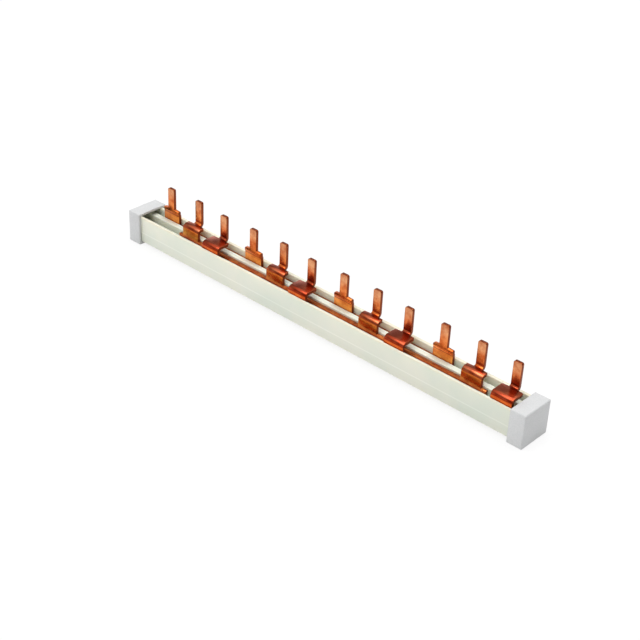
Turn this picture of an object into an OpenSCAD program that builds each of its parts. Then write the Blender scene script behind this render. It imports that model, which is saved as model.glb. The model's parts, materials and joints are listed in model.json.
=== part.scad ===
// Three-phase comb busbar: three folded copper combs standing in the slots
// of one extruded insulating profile, with a push-on cap over each end.
// Origin: middle of the length and depth, at the bottom of the end caps.
// +X runs along the bar, +Y from the front to the back, +Z towards the pin tips.

/* [Pin row] */
// Number of pins in the row, dealt in turn to the three phases
pin_count = 12; // [6:3:15]
// Distance between neighbouring pins, one breaker module
pin_pitch = 17.8; // [17:0.1:19]
// Width of a pin
pin_w = 4; // [3:0.1:5]
// Height of the pin tips above the top of the profile
pin_reach = 14.3; // [10:0.1:20]
// Corner radius at a pin's tip
tip_r = 0.8; // [0.2:0.1:1.4]

/* [Copper sheet] */
// Thickness of the copper sheet
copper_t = 1.5; // [1:0.1:2]
// Height of the strip that stands in a slot
strip_h = 9.1; // [7:0.1:12]
// Width of the tab that carries a pin
tab_w = 10; // [8:0.1:12]
// Length over which a tab's shoulders slope in to the pin
shoulder_drop = 1; // [0.6:0.1:1.6]
// Radius of a shoulder's outer corners
shoulder_r = 0.6; // [0.3:0.1:1]
// Overhang of the front and middle strips past their end tabs
strip_overhang = 2.5; // [0.5:0.1:4]
// Overhang of the rear strip past its end tabs
rear_overhang = 0.1; // [0:0.1:2]

/* [Folds] */
// Air between the top of the profile and the folded lands
land_gap = 1.6; // [1:0.1:3]
// Inside radius of the fold from the front comb's tab to its land
front_fold_r = 0.5; // [0.3:0.1:1]
// Inside radius of the fold from the middle comb's tab to its land
middle_fold_r = 0.9; // [0.4:0.1:1.5]
// Inside radius of the fold from a land up to its pin
pin_fold_r = 0.7; // [0.3:0.1:1]
// Narrow neck between a land's shoulders and the fold to the pin
neck = 0.3; // [0.1:0.1:0.8]
// Full-width part of the front comb's lands
front_land = 4.1; // [3:0.1:5]
// Full-width part of the middle comb's lands
middle_land = 0.3; // [0.1:0.1:1.5]
// Front of the rear comb's pins, ahead of the front of its strip
rear_pin_set = 0.3; // [0.1:0.1:0.8]
// Height of the rear comb's joggle above the top of the profile
joggle_up = 2; // [1:0.1:3]
// Height that the joggle takes
joggle_h = 0.6; // [0.4:0.1:1]
// Full-width part of the rear comb's tabs above the joggle
rear_upper = 0.2; // [0.1:0.1:1.5]

/* [Profile] */
// Thickness of the front wall
front_wall = 1; // [0.8:0.1:1.6]
// Thickness of the back wall
back_wall = 1.6; // [1:0.1:2.5]
// Thickness of the floor under the strips
floor_t = 1.2; // [0.8:0.1:2]
// Distance from one strip to the next
strip_spacing = 4.75; // [4:0.05:5.2]
// Air on each side of a strip in its slot
slot_clear = 0.15; // [0.05:0.05:0.3]
// Front and back walls above the strips
wall_up = 2.7; // [1.5:0.1:4]
// Rear rib above the strips
rear_rib_up = 0.8; // [0.2:0.1:1.4]
// Top of the front rib below the top of the strips
front_rib_down = 0.9; // [0.3:0.1:3]
// Bevel along the mouths of the slots
mouth_bevel = 0.25; // [0.1:0.05:0.35]
// Height of the crease line on the front above the bottom of the profile
crease_up = 5; // [3:0.1:7]
// Set-back of the front at the bottom, below the crease
toe_in = 0.15; // [0.05:0.05:0.8]
// Radius of the profile's bottom edges
bottom_r = 0.5; // [0.2:0.1:1]
// Radius of the profile's top outer edges
top_r = 0.3; // [0.1:0.05:0.4]

/* [End caps] */
// Length of a cap along the bar
cap_l = 7.2; // [5:0.1:12]
// Wall of a cap round the profile
cap_wall = 1.2; // [0.8:0.1:2]
// Closed end wall of a cap
cap_end = 1.3; // [0.8:0.1:2]
// Air between a cap and the profile
cap_clear = 0.1; // [0.05:0.05:0.3]
// Radius of a cap's outer edges
cap_r = 0.6; // [0.3:0.1:0.8]
// Gap from the left cap to the first tab
left_gap = 4.4; // [1:0.1:20]
// Gap from the last tab to the right cap
right_gap = 1.2; // [0.3:0.1:20]

/* [Hidden] */
$fn = 48;

// Along the bar
row_l = (pin_count - 1) * pin_pitch;
bar_l = 2 * cap_l + left_gap + tab_w + row_l + right_gap;
first_pin_x = -bar_l / 2 + cap_l + left_gap + tab_w / 2;
profile_l = bar_l - 2 * cap_end;

// Across the bar
slot_w = copper_t + 2 * slot_clear;
profile_d = front_wall + 2 * strip_spacing + slot_w + back_wall;
cap_room = cap_wall + cap_clear;
front_y = -profile_d / 2;
first_strip_y = front_y + front_wall + slot_clear;

// Upwards
base_z = cap_room;
strip_z = base_z + floor_t;
strip_top_z = strip_z + strip_h;
profile_h = floor_t + strip_h + wall_up;
profile_top_z = base_z + profile_h;
land_z = profile_top_z + land_gap;
joggle_z = profile_top_z + joggle_up;
tip_z = profile_top_z + pin_reach;

// Along a tab's end
shoulder_l = shoulder_r / 2 + shoulder_drop;
narrowing_l = shoulder_l + neck;

// Points of a round corner about [x, y], from angle a to angle b
function arc(x, y, r, a, b, n = 5) =
    [for (i = [0:n]) let (t = a + (b - a) * i / n) [x + r * cos(t), y + r * sin(t)]];

// Place along the bar of pin number i, counted from 0 at the left
function pin_x(i) = first_pin_x + i * pin_pitch;

// A section drawn as [y, z], run along the bar from x for a length l
module along_bar(x, l) {
    translate([x, 0, 0]) rotate([90, 0, 90]) linear_extrude(l) children();
}

// An outline drawn as [x, z], as sheet copper whose front stands at y
module upright_sheet(y) {
    translate([0, y + copper_t, 0]) rotate([90, 0, 0]) linear_extrude(copper_t) children();
}

// ---- Insulating profile: one extrusion with three lengthwise slots ----

// Slot for one strip, open upwards, with a bevelled edge where its front and
// back sides end, at the heights front_z and back_z
module slot(y, front_z, back_z) {
    far_z = profile_top_z + 1;
    polygon([[y, strip_z], [y + slot_w, strip_z], [y + slot_w, back_z - mouth_bevel],
             [y + slot_w + mouth_bevel, back_z], [y + slot_w + mouth_bevel, far_z],
             [y - mouth_bevel, far_z], [y - mouth_bevel, front_z], [y, front_z - mouth_bevel]]);
}

module profile_outline() {
    back_y = front_y + profile_d;
    top = profile_top_z;
    polygon(concat(
        arc(front_y + toe_in + bottom_r, base_z + bottom_r, bottom_r, 180, 270),
        arc(back_y - bottom_r, base_z + bottom_r, bottom_r, 270, 360),
        arc(back_y - top_r, top - top_r, top_r, 0, 90),
        arc(front_y + top_r, top - top_r, top_r, 90, 180),
        [[front_y, base_z + crease_up]]));
}

module insulating_profile() {
    slots_y = [for (i = [0:2]) front_y + front_wall + i * strip_spacing];
    front_rib_z = strip_top_z - front_rib_down;
    rear_rib_z = strip_top_z + rear_rib_up;
    over_ribs = strip_spacing + slot_w;
    color("ivory") along_bar(-profile_l / 2, profile_l) difference() {
        profile_outline();
        slot(slots_y[0], profile_top_z, front_rib_z);
        slot(slots_y[1], front_rib_z, rear_rib_z);
        slot(slots_y[2], rear_rib_z, profile_top_z);
        // The ribs stop short of the walls, the front one lower than the rear one
        translate([slots_y[0], front_rib_z]) square([over_ribs, profile_h]);
        translate([slots_y[1], rear_rib_z]) square([over_ribs, profile_h]);
    }
}

// ---- Copper combs: each is one stamped and folded strip ----

// A quarter fold of inside radius r about an axis along the bar, from below to behind
module fold(r, w) {
    rotate([0, 90, 0]) translate([0, 0, -w / 2])
        rotate_extrude(angle = 90) translate([r, 0]) square([copper_t, w]);
}

// Outline of a tab's end: full width for a length l, then shoulders sloping in to the neck
module shoulders(l) {
    side = concat([[tab_w / 2, 0]], arc(tab_w / 2 - shoulder_r, l, shoulder_r, 0, 70),
                  [[pin_w / 2, l + shoulder_l], [pin_w / 2, l + narrowing_l]]);
    polygon(concat(side, [for (i = [len(side) - 1:-1:0]) [-side[i][0], side[i][1]]]));
}

// Outline of a pin from height 0 to height h, with round corners at the tip
module blade(h) {
    translate([-pin_w / 2, 0]) square([pin_w, h - tip_r]);
    translate([-pin_w / 2 + tip_r, 0]) square([pin_w - 2 * tip_r, h]);
    for (side = [-1, 1]) translate([side * (pin_w / 2 - tip_r), h - tip_r]) circle(tip_r);
}

// Strip standing in slot number row, with tabs on every third pin from pin number first
module strip(row, first, overhang) {
    last = first + pin_count - 3;
    start = pin_x(first) - tab_w / 2 - overhang;
    end = pin_x(last) + tab_w / 2 + overhang;
    translate([start, first_strip_y + row * strip_spacing, strip_z])
        cube([end - start, copper_t, strip_h]);
}

// Tab that rises from strip number row, folds back over the slots behind it
// as a land, full width for a length l, and folds up again into the pin
module folded_tab(row, fold_r, l) {
    y = first_strip_y + row * strip_spacing;
    fold_y = y + copper_t + fold_r;
    fold_z = land_z - fold_r;
    up_y = fold_y + l + narrowing_l;
    up_z = land_z + copper_t + pin_fold_r;
    translate([-tab_w / 2, y, strip_top_z]) cube([tab_w, copper_t, fold_z - strip_top_z]);
    translate([0, fold_y, fold_z]) rotate([180, 0, 0]) fold(fold_r, tab_w);
    translate([0, fold_y, land_z]) linear_extrude(copper_t) shoulders(l);
    translate([0, up_y, up_z]) fold(pin_fold_r, pin_w);
    upright_sheet(up_y + pin_fold_r) translate([0, up_z]) blade(tip_z - up_z);
}

module front_comb() {
    color("peru") {
        strip(0, 2, strip_overhang);
        for (i = [2:3:pin_count - 1]) translate([pin_x(i), 0, 0])
            folded_tab(0, front_fold_r, front_land);
    }
}

module middle_comb() {
    color("chocolate") {
        strip(1, 1, strip_overhang);
        for (i = [1:3:pin_count - 2]) translate([pin_x(i), 0, 0])
            folded_tab(1, middle_fold_r, middle_land);
    }
}

// The rear comb's tabs go straight up and are only joggled forward to the row of pins
module joggled_tab() {
    y = first_strip_y + 2 * strip_spacing;
    set_y = y - rear_pin_set;
    set_z = joggle_z + joggle_h;
    along_bar(-tab_w / 2, tab_w) polygon([
        [y, strip_top_z], [y + copper_t, strip_top_z], [y + copper_t, joggle_z],
        [set_y + copper_t, set_z], [set_y, set_z], [y, joggle_z]]);
    upright_sheet(set_y) translate([0, set_z]) {
        shoulders(rear_upper);
        translate([0, rear_upper + shoulder_l])
            blade(tip_z - set_z - rear_upper - shoulder_l);
    }
}

module rear_comb() {
    color("sienna") {
        strip(2, 0, rear_overhang);
        for (i = [0:3:pin_count - 3]) translate([pin_x(i), 0, 0]) joggled_tab();
    }
}

// ---- End caps: moulded boxes, open towards the profile ----

// Rectangle about the origin with round corners on the sides given as [left, right]
module soft_rectangle(w, h, r, round_sides) {
    translate([-w / 2 + r, -h / 2]) square([w - 2 * r, h]);
    for (i = [0:1]) let (side = 2 * i - 1) {
        if (round_sides[i]) {
            for (up = [-1, 1]) translate([side * (w / 2 - r), up * (h / 2 - r)]) circle(r);
            translate([side * (w / 2 - r / 2), 0]) square([r, h - 2 * r], center = true);
        } else {
            translate([side * (w / 2 - r / 2), 0]) square([r, h], center = true);
        }
    }
}

// A cap with its closed end at x = 0, opening towards +X
module end_cap() {
    depth = profile_d + 2 * cap_room;
    height = profile_h + 2 * cap_room;
    difference() {
        translate([cap_l / 2, 0, height / 2]) intersection() {
            rotate([90, 0, 90]) linear_extrude(cap_l, center = true)
                soft_rectangle(depth, height, cap_r, [true, true]);
            linear_extrude(height, center = true)
                soft_rectangle(cap_l, depth, cap_r, [true, false]);
            rotate([90, 0, 0]) linear_extrude(depth, center = true)
                soft_rectangle(cap_l, height, cap_r, [true, false]);
        }
        translate([cap_end, front_y - cap_clear, cap_wall])
            cube([cap_l, profile_d + 2 * cap_clear, profile_h + 2 * cap_clear]);
    }
}

module end_cap_left() {
    color("whitesmoke") translate([-bar_l / 2, 0, 0]) end_cap();
}

module end_cap_right() {
    color("whitesmoke") mirror([1, 0, 0]) translate([-bar_l / 2, 0, 0]) end_cap();
}

insulating_profile();
rear_comb();
middle_comb();
front_comb();
end_cap_left();
end_cap_right();
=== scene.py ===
"""Three-phase comb busbar: three folded copper combs in one extruded insulating
profile, closed by moulded end caps. The file follows the busbar as it is put together."""
import json
import math

import bpy
from mathutils import Matrix, Vector


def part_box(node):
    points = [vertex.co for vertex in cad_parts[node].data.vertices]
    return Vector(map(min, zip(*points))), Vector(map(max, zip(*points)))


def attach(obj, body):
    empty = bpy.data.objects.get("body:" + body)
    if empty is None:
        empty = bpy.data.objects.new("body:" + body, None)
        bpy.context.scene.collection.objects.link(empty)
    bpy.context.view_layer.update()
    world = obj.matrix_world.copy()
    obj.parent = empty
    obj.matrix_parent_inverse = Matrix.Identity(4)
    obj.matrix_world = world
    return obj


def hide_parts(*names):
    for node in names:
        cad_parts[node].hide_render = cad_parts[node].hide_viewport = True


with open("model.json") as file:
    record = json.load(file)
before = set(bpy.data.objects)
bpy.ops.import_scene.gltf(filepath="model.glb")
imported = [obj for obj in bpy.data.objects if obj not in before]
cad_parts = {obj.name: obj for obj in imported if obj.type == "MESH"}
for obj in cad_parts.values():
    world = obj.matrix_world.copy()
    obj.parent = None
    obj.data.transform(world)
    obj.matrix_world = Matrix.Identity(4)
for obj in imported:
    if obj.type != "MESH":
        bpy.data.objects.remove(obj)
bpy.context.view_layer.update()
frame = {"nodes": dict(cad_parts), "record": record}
MM = 0.001

# ---- Insulating profile ----
# One extrusion of ivory PVC with three lengthwise slots, sawn to length.
# The combs stand in its slots and the caps are pushed over its ends.
DIE_EDGE = 0.16 * MM
FLAT = math.radians(0.5)
SHARP = math.radians(35)


def soft_edged(node, radius):
    """The node's solid as a piece of its own, its flat faces whole again and its sharp edges
    rounded to the given radius. It takes the node's place."""
    bpy.ops.object.select_all(action="DESELECT")
    piece = bpy.data.objects.new(node + "_finished", frame["nodes"][node].data.copy())
    bpy.context.scene.collection.objects.link(piece)
    piece.select_set(True)
    bpy.context.view_layer.objects.active = piece
    bpy.ops.object.mode_set(mode="EDIT")
    bpy.ops.mesh.select_all(action="SELECT")
    bpy.ops.mesh.remove_doubles(threshold=0.001 * MM)
    bpy.ops.mesh.dissolve_limited(angle_limit=FLAT)
    bpy.ops.object.mode_set(mode="OBJECT")
    piece.data.materials.clear()
    edges = piece.modifiers.new("edges", "BEVEL")
    edges.width = radius
    edges.segments = 2
    edges.limit_method = "ANGLE"
    edges.angle_limit = SHARP
    edges.use_clamp_overlap = False
    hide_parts(node)
    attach(piece, "root")
    return piece


def finish_edges(piece):
    """Makes the rounded edges part of the mesh, and shades the folds smooth."""
    bpy.ops.object.select_all(action="DESELECT")
    piece.select_set(True)
    bpy.context.view_layer.objects.active = piece
    bpy.ops.object.modifier_apply(modifier="edges")
    bpy.ops.object.shade_smooth_by_angle(angle=SHARP)


def linear(hex_colour):
    """sRGB hex such as "#D9DCCF" as the linear colour that a shader socket takes."""
    parts = [int(hex_colour[i:i + 2], 16) / 255 for i in (1, 3, 5)]
    return [p / 12.92 if p <= 0.04045 else ((p + 0.055) / 1.055) ** 2.4 for p in parts] + [1]


def add_node(material, kind, settings=None, links=None):
    """A node of the given kind. Settings name its properties or its input sockets, and
    links name input sockets, or number them where names repeat, with what feeds each."""
    node = material.node_tree.nodes.new(kind)
    for name, value in (settings or {}).items():
        if name in node.inputs:
            node.inputs[name].default_value = value
        else:
            setattr(node, name, value)
    for name, source in (links or {}).items():
        material.node_tree.links.new(source, node.inputs[name])
    return node


def height_bands(material, place, bands, wander=None):
    """A colour ramp up the piece, for the thing's own colour and for painted light and shade.
    Bands are (height, hex colour) pairs from the lowest to the highest; wander is an output that
    shifts the bands a little, so that their edges run unevenly."""
    bottom, top = bands[0][0], bands[-1][0]
    apart = add_node(material, "ShaderNodeSeparateXYZ", {}, {"Vector": place.outputs["Object"]})
    height = apart.outputs["Z"]
    if wander:
        height = add_node(material, "ShaderNodeMath", {"operation": "ADD"},
                          {0: height, 1: wander}).outputs[0]
    share = add_node(material, "ShaderNodeMapRange", {"From Min": bottom, "From Max": top},
                     {"Value": height})
    ramp = add_node(material, "ShaderNodeValToRGB", {}, {"Fac": share.outputs["Result"]})
    stops = ramp.color_ramp.elements
    stops[0].color, stops[1].color = linear(bands[0][1]), linear(bands[-1][1])
    for level, colour in bands[1:-1]:
        stop = stops.new((level - bottom) / (top - bottom))
        stop.color = linear(colour)
    return ramp.outputs["Color"]


# Rigid PVC, extruded: ivory with a faint green cast, a soft sheen, and walls thin enough to glow a
# little in the light. The die leaves fine lines along it. A painted highlight runs as a pale line
# along the front wall's crease, and as a creamier line along the lip where the walls end. The
# colour is also a little lighter towards the top and creamier at the foot.
DIE_LINE = 0.5 * MM
DIE_STRETCH = (0.02, 1, 1)  # the lines run along the profile
CLOUD = 18 * MM
CREASE_UP = 5 * MM
# half the height of the painted highlight line at the crease
CREASE_HIGHLIGHT_HALF = 0.35 * MM
profile = soft_edged("insulating_profile", DIE_EDGE)
low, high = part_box("insulating_profile")
pvc = bpy.data.materials.new("ivory_pvc_extruded")
pvc.use_nodes = True
shader = pvc.node_tree.nodes["Principled BSDF"]
shader.inputs["Roughness"].default_value = 0.36
shader.inputs["IOR"].default_value = 1.53
shader.inputs["Subsurface Weight"].default_value = 0.3
shader.inputs["Subsurface Radius"].default_value = (1.0, 0.95, 0.75)
shader.inputs["Subsurface Scale"].default_value = 1.2 * MM
place = add_node(pvc, "ShaderNodeTexCoord")
along = add_node(pvc, "ShaderNodeMapping", {"Scale": DIE_STRETCH},
                 {"Vector": place.outputs["Object"]})
lines = add_node(pvc, "ShaderNodeTexNoise", {"Scale": 1 / DIE_LINE, "Detail": 2},
                 {"Vector": along.outputs["Vector"]})
cloud = add_node(pvc, "ShaderNodeTexNoise", {"Scale": 1 / CLOUD, "Detail": 3},
                 {"Vector": place.outputs["Object"]})
crease = low.z + CREASE_UP
# Bands up the profile: its ivory, with a painted highlight line at the crease and a creamier
# painted highlight along the lip.
body = height_bands(pvc, place, [
    (low.z, "#EEEBDC"), (low.z + 0.7 * MM, "#E9EBE2"), (crease - CREASE_HIGHLIGHT_HALF, "#E9EBE3"),
    (crease, "#F9FAF4"), (crease + CREASE_HIGHLIGHT_HALF, "#EAECE4"), (high.z - 1.1 * MM, "#EEEFE5"),
    (high.z - 0.5 * MM, "#F3EEDF"), (high.z, "#F4EFDF")])
tint = add_node(pvc, "ShaderNodeValToRGB", {}, {"Fac": cloud.outputs["Fac"]})
tint.color_ramp.elements[0].position, tint.color_ramp.elements[1].position = 0.35, 0.65
tint.color_ramp.elements[0].color = linear("#F4F8F2")
tint.color_ramp.elements[1].color = linear("#FFFDF6")
shade = add_node(pvc, "ShaderNodeMix", {"data_type": "RGBA", "blend_type": "MULTIPLY",
                                        "Factor": 1.0}, {6: body, 7: tint.outputs["Color"]})
pvc.node_tree.links.new(shade.outputs[2], shader.inputs["Base Color"])
relief = add_node(pvc, "ShaderNodeBump", {"Strength": 0.25, "Distance": 0.02 * MM},
                  {"Height": lines.outputs["Fac"]})
pvc.node_tree.links.new(relief.outputs["Normal"], shader.inputs["Normal"])
profile.data.materials.append(pvc)
finish_edges(profile)

# ---- Copper combs ----
# Three combs stamped from copper strip and folded up, one for each phase. They stand
# in the profile's slots, held by fit, and their pins make one row for the breakers.
SHEAR = 0.13 * MM

# Bare copper strip, cold rolled: bright orange metal with fine lines along the bar, browned in
# patches by handling. Bands up the combs paint light and shade on it: painted shade low in the
# slots, a painted reflection that makes the tab faces bright orange, painted shade in the folds
# and in the creases at the pins' feet, painted highlights along the fold tops, and pins painted
# lighter towards their tips. The rear tabs are hardly folded and get bands of their own, with one
# painted dark line at their crease. The front tabs' faces are painted redder and darker, as a
# painted reflection.
ROLL_LINE = 0.25 * MM
ROLL_STRETCH = (0.04, 1, 1)  # the lines run along the bar
PATCH = 4 * MM
# how far the browned patches shift the painted light and shade bands, so their edges run unevenly
BAND_WANDER = 0.2 * MM
REAR_TAB_Y = (2.9 * MM, 3.3 * MM)  # just in front of the rear tabs' faces
wall_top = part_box("insulating_profile")[1].z
pin_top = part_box("front_comb")[1].z
copper = bpy.data.materials.new("copper_cold_rolled")
copper.use_nodes = True
shader = copper.node_tree.nodes["Principled BSDF"]
shader.inputs["Metallic"].default_value = 1.0
place = add_node(copper, "ShaderNodeTexCoord")
along = add_node(copper, "ShaderNodeMapping", {"Scale": ROLL_STRETCH},
                 {"Vector": place.outputs["Object"]})
lines = add_node(copper, "ShaderNodeTexNoise", {"Scale": 1 / ROLL_LINE, "Detail": 2},
                 {"Vector": along.outputs["Vector"]})
patch = add_node(copper, "ShaderNodeTexNoise", {"Scale": 1 / PATCH, "Detail": 4, "Roughness": 0.6},
                 {"Vector": place.outputs["Object"]})
wander = add_node(copper, "ShaderNodeMapRange",
                  {"From Min": 0.3, "From Max": 0.7, "To Min": -BAND_WANDER, "To Max": BAND_WANDER},
                  {"Value": patch.outputs["Fac"]})
# Painted light and shade up the folded tabs: painted shade low in the slots, painted reflection on
# the tab faces, painted shade in the folds and at the pins' feet, painted highlights on the fold
# tops, and pins painted lighter towards the tips.
folded_tab_painted_light = height_bands(copper, place, [
    (wall_top - 3.2 * MM, "#CC6E3E"), (wall_top - 1 * MM, "#FFAE58"),
    (wall_top + 1.1 * MM, "#FF9C48"), (wall_top + 1.6 * MM, "#8E3E1E"),
    (wall_top + 2.0 * MM, "#B45230"), (wall_top + 2.6 * MM, "#DC8258"),
    (wall_top + 3.0 * MM, "#B45A3C"), (wall_top + 3.7 * MM, "#C0603C"),
    (wall_top + 4.1 * MM, "#8E4226"), (wall_top + 4.6 * MM, "#DE6A36"),
    (wall_top + 8 * MM, "#E27E48"),
    (pin_top - 3 * MM, "#EAA676"), (pin_top, "#D8966C")],
    wander.outputs["Result"])
# Painted light and shade up the rear tabs: painted shade low in the slots, painted reflection on
# the tab faces, one painted dark line at the crease, and pins painted lighter towards the tips.
rear_tab_painted_light = height_bands(copper, place, [
    (wall_top - 3.2 * MM, "#CC6E3E"), (wall_top - 1 * MM, "#FFAE58"),
    (wall_top + 1.4 * MM, "#FF9C48"), (wall_top + 1.7 * MM, "#A04A24"),
    (wall_top + 2.0 * MM, "#F68C44"), (wall_top + 4.2 * MM, "#F08844"),
    (wall_top + 8 * MM, "#EA8C50"),
    (pin_top - 3 * MM, "#EAA676"), (pin_top, "#D8966C")],
    wander.outputs["Result"])
depth = add_node(copper, "ShaderNodeSeparateXYZ", {}, {"Vector": place.outputs["Object"]})
rear_tabs = add_node(copper, "ShaderNodeMapRange",
                     {"From Min": REAR_TAB_Y[0], "From Max": REAR_TAB_Y[1]},
                     {"Value": depth.outputs["Y"]})
# The rear tabs' painted bands just in front of their faces, the folded tabs' painted bands
# elsewhere.
tab_painted_light = add_node(copper, "ShaderNodeMix", {"data_type": "RGBA"},
                  {"Factor": rear_tabs.outputs["Result"], 6: folded_tab_painted_light, 7: rear_tab_painted_light})
browned = add_node(copper, "ShaderNodeValToRGB", {}, {"Fac": patch.outputs["Fac"]})
browned.color_ramp.elements[0].position, browned.color_ramp.elements[1].position = 0.35, 0.62
browned.color_ramp.elements[0].color = linear("#D6AE9C")
browned.color_ramp.elements[1].color = linear("#FFFFFF")
# The copper's own browning by handling, multiplied with the painted light and shade of the bands.
browning_and_painted_light = add_node(copper, "ShaderNodeMix",
                {"data_type": "RGBA", "blend_type": "MULTIPLY", "Factor": 1.0},
                {6: tab_painted_light.outputs[2], 7: browned.outputs["Color"]})
# The front tabs' faces are painted redder and darker: a painted reflection, not a colour of the
# copper.
front_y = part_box("front_comb")[0].y
front_tabs = add_node(copper, "ShaderNodeMapRange",
                      {"From Min": front_y + 1 * MM, "From Max": front_y + 2 * MM,
                       "To Min": 0.7, "To Max": 0.0}, {"Value": depth.outputs["Y"]})
front_tab_painted_reflection = add_node(copper, "ShaderNodeMix", {"data_type": "RGBA", "blend_type": "MULTIPLY"},
                    {"Factor": front_tabs.outputs["Result"], 6: browning_and_painted_light.outputs[2]})
front_tab_painted_reflection.inputs[7].default_value = linear("#DC8A80")
copper.node_tree.links.new(front_tab_painted_reflection.outputs[2], shader.inputs["Base Color"])
shine = add_node(copper, "ShaderNodeMapRange",
                 {"From Min": 0.3, "From Max": 0.7, "To Min": 0.16, "To Max": 0.27},
                 {"Value": lines.outputs["Fac"]})
copper.node_tree.links.new(shine.outputs["Result"], shader.inputs["Roughness"])

# The sheared edge of the strip: torn and burnished by the punch, duller and browner.
TEAR = 0.4 * MM
sheared = bpy.data.materials.new("copper_sheared_edge")
sheared.use_nodes = True
shader = sheared.node_tree.nodes["Principled BSDF"]
shader.inputs["Metallic"].default_value = 1.0
shader.inputs["Roughness"].default_value = 0.42
place = add_node(sheared, "ShaderNodeTexCoord")
torn = add_node(sheared, "ShaderNodeTexNoise", {"Scale": 1 / TEAR, "Detail": 3},
                {"Vector": place.outputs["Object"]})
brown = add_node(sheared, "ShaderNodeValToRGB", {}, {"Fac": torn.outputs["Fac"]})
brown.color_ramp.elements[0].position, brown.color_ramp.elements[1].position = 0.35, 0.65
brown.color_ramp.elements[0].color = linear("#74331A")
brown.color_ramp.elements[1].color = linear("#9A4C2A")
sheared.node_tree.links.new(brown.outputs["Color"], shader.inputs["Base Color"])

# The punch leaves the corners beside the pins nearly square, so they are drawn up
# towards the pin: upwards on the rear tabs, and backwards on the lands of the others.
PIN_COUNT = 12
COMB_NAMES = ("rear_comb", "middle_comb", "front_comb")
ASIDE = (4 * MM, 6 * MM)  # how far a tab's outer corners are from the middle of its pin
REAR_CORNER_UP = 2.75 * MM  # above the profile's walls
LAND_CORNER_IN = 3.75 * MM  # in front of the pin's back
SQUARED = 0.55 * MM
mounts = {mount["name"]: mount["pos_m"][0] for mount in frame["record"]["mounts"]}
row_start = mounts["first_pin_face"]
pitch = (mounts["last_pin_face"] - row_start) / (PIN_COUNT - 1)
pins = [row_start + pitch * step for step in range(PIN_COUNT)]


def square_shoulders(comb, comb_pins, is_corner, move):
    """Moves the outer corners of each tab, those that is_corner holds for, by move."""
    bpy.ops.object.select_all(action="DESELECT")
    comb.select_set(True)
    bpy.context.view_layer.objects.active = comb
    bpy.ops.object.mode_set(mode="EDIT")
    bpy.ops.mesh.select_mode(type="VERT")
    bpy.ops.mesh.select_all(action="DESELECT")
    bpy.ops.object.mode_set(mode="OBJECT")
    for corner in comb.data.vertices:
        aside = min(abs(corner.co.x - pin) for pin in comb_pins)
        corner.select = is_corner(corner.co) and ASIDE[0] < aside < ASIDE[1]
    bpy.ops.object.mode_set(mode="EDIT")
    bpy.ops.transform.translate(value=move)
    bpy.ops.object.mode_set(mode="OBJECT")


for first, name in enumerate(COMB_NAMES):
    comb = soft_edged(name, SHEAR)
    comb_pins = pins[first::len(COMB_NAMES)]
    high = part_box(name)[1]
    if name == "rear_comb":
        square_shoulders(comb, comb_pins, lambda point: point.z > wall_top + REAR_CORNER_UP,
                         (0, 0, SQUARED))
    else:
        square_shoulders(comb, comb_pins, lambda point: point.y > high.y - LAND_CORNER_IN,
                         (0, SQUARED, 0))
    comb.data.materials.append(copper)
    comb.data.materials.append(sheared)
    for face in comb.data.polygons:
        at_tip = face.normal.z > 0.9 and face.center.z > high.z - 0.01 * MM
        at_side = abs(face.normal.x) > 0.2
        if at_side or at_tip:
            face.material_index = 1
    finish_edges(comb)

# ---- End caps ----
# Two shallow caps moulded in a cooler white than the profile, pushed over its ends
# and held by friction. They stand proud all round, so the bar lies on them.
CAP_EDGE = 0.15 * MM
SPARK = 0.35 * MM
# ABS from a spark-eroded mould: cool white, matt, with a very fine even grain.
cap = bpy.data.materials.new("cool_white_abs_moulded")
cap.use_nodes = True
shader = cap.node_tree.nodes["Principled BSDF"]
shader.inputs["Roughness"].default_value = 0.5
place = add_node(cap, "ShaderNodeTexCoord")
grain = add_node(cap, "ShaderNodeTexNoise", {"Scale": 1 / SPARK, "Detail": 2},
                 {"Vector": place.outputs["Object"]})
cool = add_node(cap, "ShaderNodeValToRGB", {}, {"Fac": grain.outputs["Fac"]})
cool.color_ramp.elements[0].position, cool.color_ramp.elements[1].position = 0.3, 0.7
cool.color_ramp.elements[0].color = linear("#CCCECE")
cool.color_ramp.elements[1].color = linear("#D8D8D9")
cap.node_tree.links.new(cool.outputs["Color"], shader.inputs["Base Color"])
relief = add_node(cap, "ShaderNodeBump", {"Strength": 0.3, "Distance": 0.02 * MM},
                  {"Height": grain.outputs["Fac"]})
cap.node_tree.links.new(relief.outputs["Normal"], shader.inputs["Normal"])
for name in ("end_cap_left", "end_cap_right"):
    piece = soft_edged(name, CAP_EDGE)
    piece.data.materials.append(cap)
    finish_edges(piece)

# ---- Floor ----
# A sheet of white paper under the busbar. Seen or mirrored it is evenly white, as a
# well lit table is; the share that takes light keeps the busbar's shadow.
FLOOR_SIZE = 6
SELF_WHITE = 0.82
bpy.ops.object.select_all(action="DESELECT")
bpy.ops.mesh.primitive_plane_add(size=FLOOR_SIZE)
floor = bpy.context.object
floor.name = "floor"
white = bpy.data.materials.new("white_paper_floor")
white.use_nodes = True
shader = white.node_tree.nodes["Principled BSDF"]
shader.inputs["Base Color"].default_value = (0.9, 0.9, 0.9, 1)
shader.inputs["Roughness"].default_value = 0.9
paper = add_node(white, "ShaderNodeEmission", {"Color": (1, 1, 1, 1), "Strength": 1.02})
ray = add_node(white, "ShaderNodeLightPath")
mirrored = add_node(white, "ShaderNodeMath", {"operation": "MAXIMUM"},
                    {0: ray.outputs["Is Glossy Ray"], 1: ray.outputs["Is Transmission Ray"]})
seen = add_node(white, "ShaderNodeMath", {"operation": "MAXIMUM"},
                {0: ray.outputs["Is Camera Ray"], 1: mirrored.outputs[0]})
share = add_node(white, "ShaderNodeMath", {"operation": "MULTIPLY"}, {0: seen.outputs[0]})
share.inputs[1].default_value = SELF_WHITE
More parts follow.
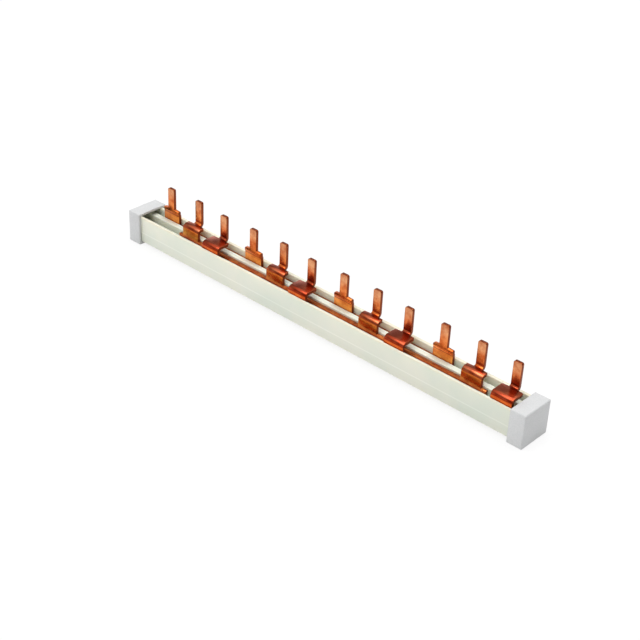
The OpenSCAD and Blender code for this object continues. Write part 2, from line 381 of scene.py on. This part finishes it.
mixed = add_node(white, "ShaderNodeMixShader", {}, {"Fac": share.outputs[0],
                                                    1: shader.outputs["BSDF"],
                                                    2: paper.outputs["Emission"]})
surface = white.node_tree.nodes["Material Output"].inputs["Surface"]
white.node_tree.links.new(mixed.outputs[0], surface)
floor.data.materials.append(white)

# ---- Light ----
# Plain studio light: a bright room low down and overhead, a darker band between them
# that the folded copper mirrors, and less light from the right. Two broad lamps
# above it, one a little in front and one behind, shade the folds and light the slots.
SKY = ((0.15, 1.0), (0.35, 0.3), (0.6, 0.3), (0.76, 1.0))  # height of the look, level
LAMP_WATTS = 4
LAMPS = {"key": (0.6, (-0.25, -0.3, 1.3)), "fill": (0.8, (0.15, 0.45, 1.1))}  # size, place
world = bpy.context.scene.world or bpy.data.worlds.new("studio")
bpy.context.scene.world = world
world.use_nodes = True
room = world.node_tree.nodes["Background"]
coords = add_node(world, "ShaderNodeTexCoord")
look = add_node(world, "ShaderNodeSeparateXYZ", {}, {"Vector": coords.outputs["Generated"]})
ramp = add_node(world, "ShaderNodeValToRGB", {}, {"Fac": look.outputs["Z"]})
stops = ramp.color_ramp.elements
stops[0].position, stops[0].color = 0.0, (1, 1, 1, 1)
stops[1].position, stops[1].color = 1.0, (1, 1, 1, 1)
for position, level in SKY:
    stop = stops.new(position)
    stop.color = (level, level, level, 1)
world.node_tree.links.new(ramp.outputs["Color"], room.inputs["Color"])
rightward = add_node(world, "ShaderNodeMapRange",
                     {"From Min": 0.2, "From Max": 0.9, "To Min": 1.25, "To Max": 0.2},
                     {"Value": look.outputs["X"]})
world.node_tree.links.new(rightward.outputs["Result"], room.inputs["Strength"])
wall = add_node(world, "ShaderNodeBackground", {"Color": (1, 1, 1, 1), "Strength": 1.0})
ray = add_node(world, "ShaderNodeLightPath")
behind = add_node(world, "ShaderNodeMixShader", {}, {"Fac": ray.outputs["Is Camera Ray"],
                                                     1: room.outputs["Background"],
                                                     2: wall.outputs["Background"]})
surface = world.node_tree.nodes["World Output"].inputs["Surface"]
world.node_tree.links.new(behind.outputs[0], surface)

for name, (size, place) in LAMPS.items():
    data = bpy.data.lights.new(name, "AREA")
    data.energy = LAMP_WATTS
    data.size = size
    lamp = bpy.data.objects.new(name, data)
    bpy.context.scene.collection.objects.link(lamp)
    lamp.location = place
    lamp.rotation_euler = (-lamp.location).to_track_quat("-Z", "Y").to_euler()

# ---- Camera ----
# A long lens that looks down on the busbar from the front right, turned a little
# about its own axis. Colours go out as they are written.
AZIMUTH = math.radians(41.46)
ELEVATION = math.radians(31.99)
ROLL = math.radians(2.71)
DISTANCE = 578.25 * MM
FOCAL_MM = 76.51
SENSOR_MM = 36
target = Vector((1.46 * MM, 0, 3.85 * MM))
away = Vector((math.sin(AZIMUTH) * math.cos(ELEVATION), -math.cos(AZIMUTH) * math.cos(ELEVATION),
               math.sin(ELEVATION)))
level_right = Vector((math.cos(AZIMUTH), math.sin(AZIMUTH), 0))
level_up = away.cross(level_right)
right = math.cos(ROLL) * level_right + math.sin(ROLL) * level_up
up = away.cross(right)
lens = bpy.data.cameras.new("camera")
lens.lens = FOCAL_MM
lens.sensor_width = SENSOR_MM
camera = bpy.data.objects.new("camera", lens)
bpy.context.scene.collection.objects.link(camera)
turn = Matrix((right, up, away)).transposed().to_4x4()
camera.matrix_world = Matrix.Translation(target + DISTANCE * away) @ turn
bpy.context.scene.camera = camera
bpy.context.scene.view_settings.view_transform = "Standard"
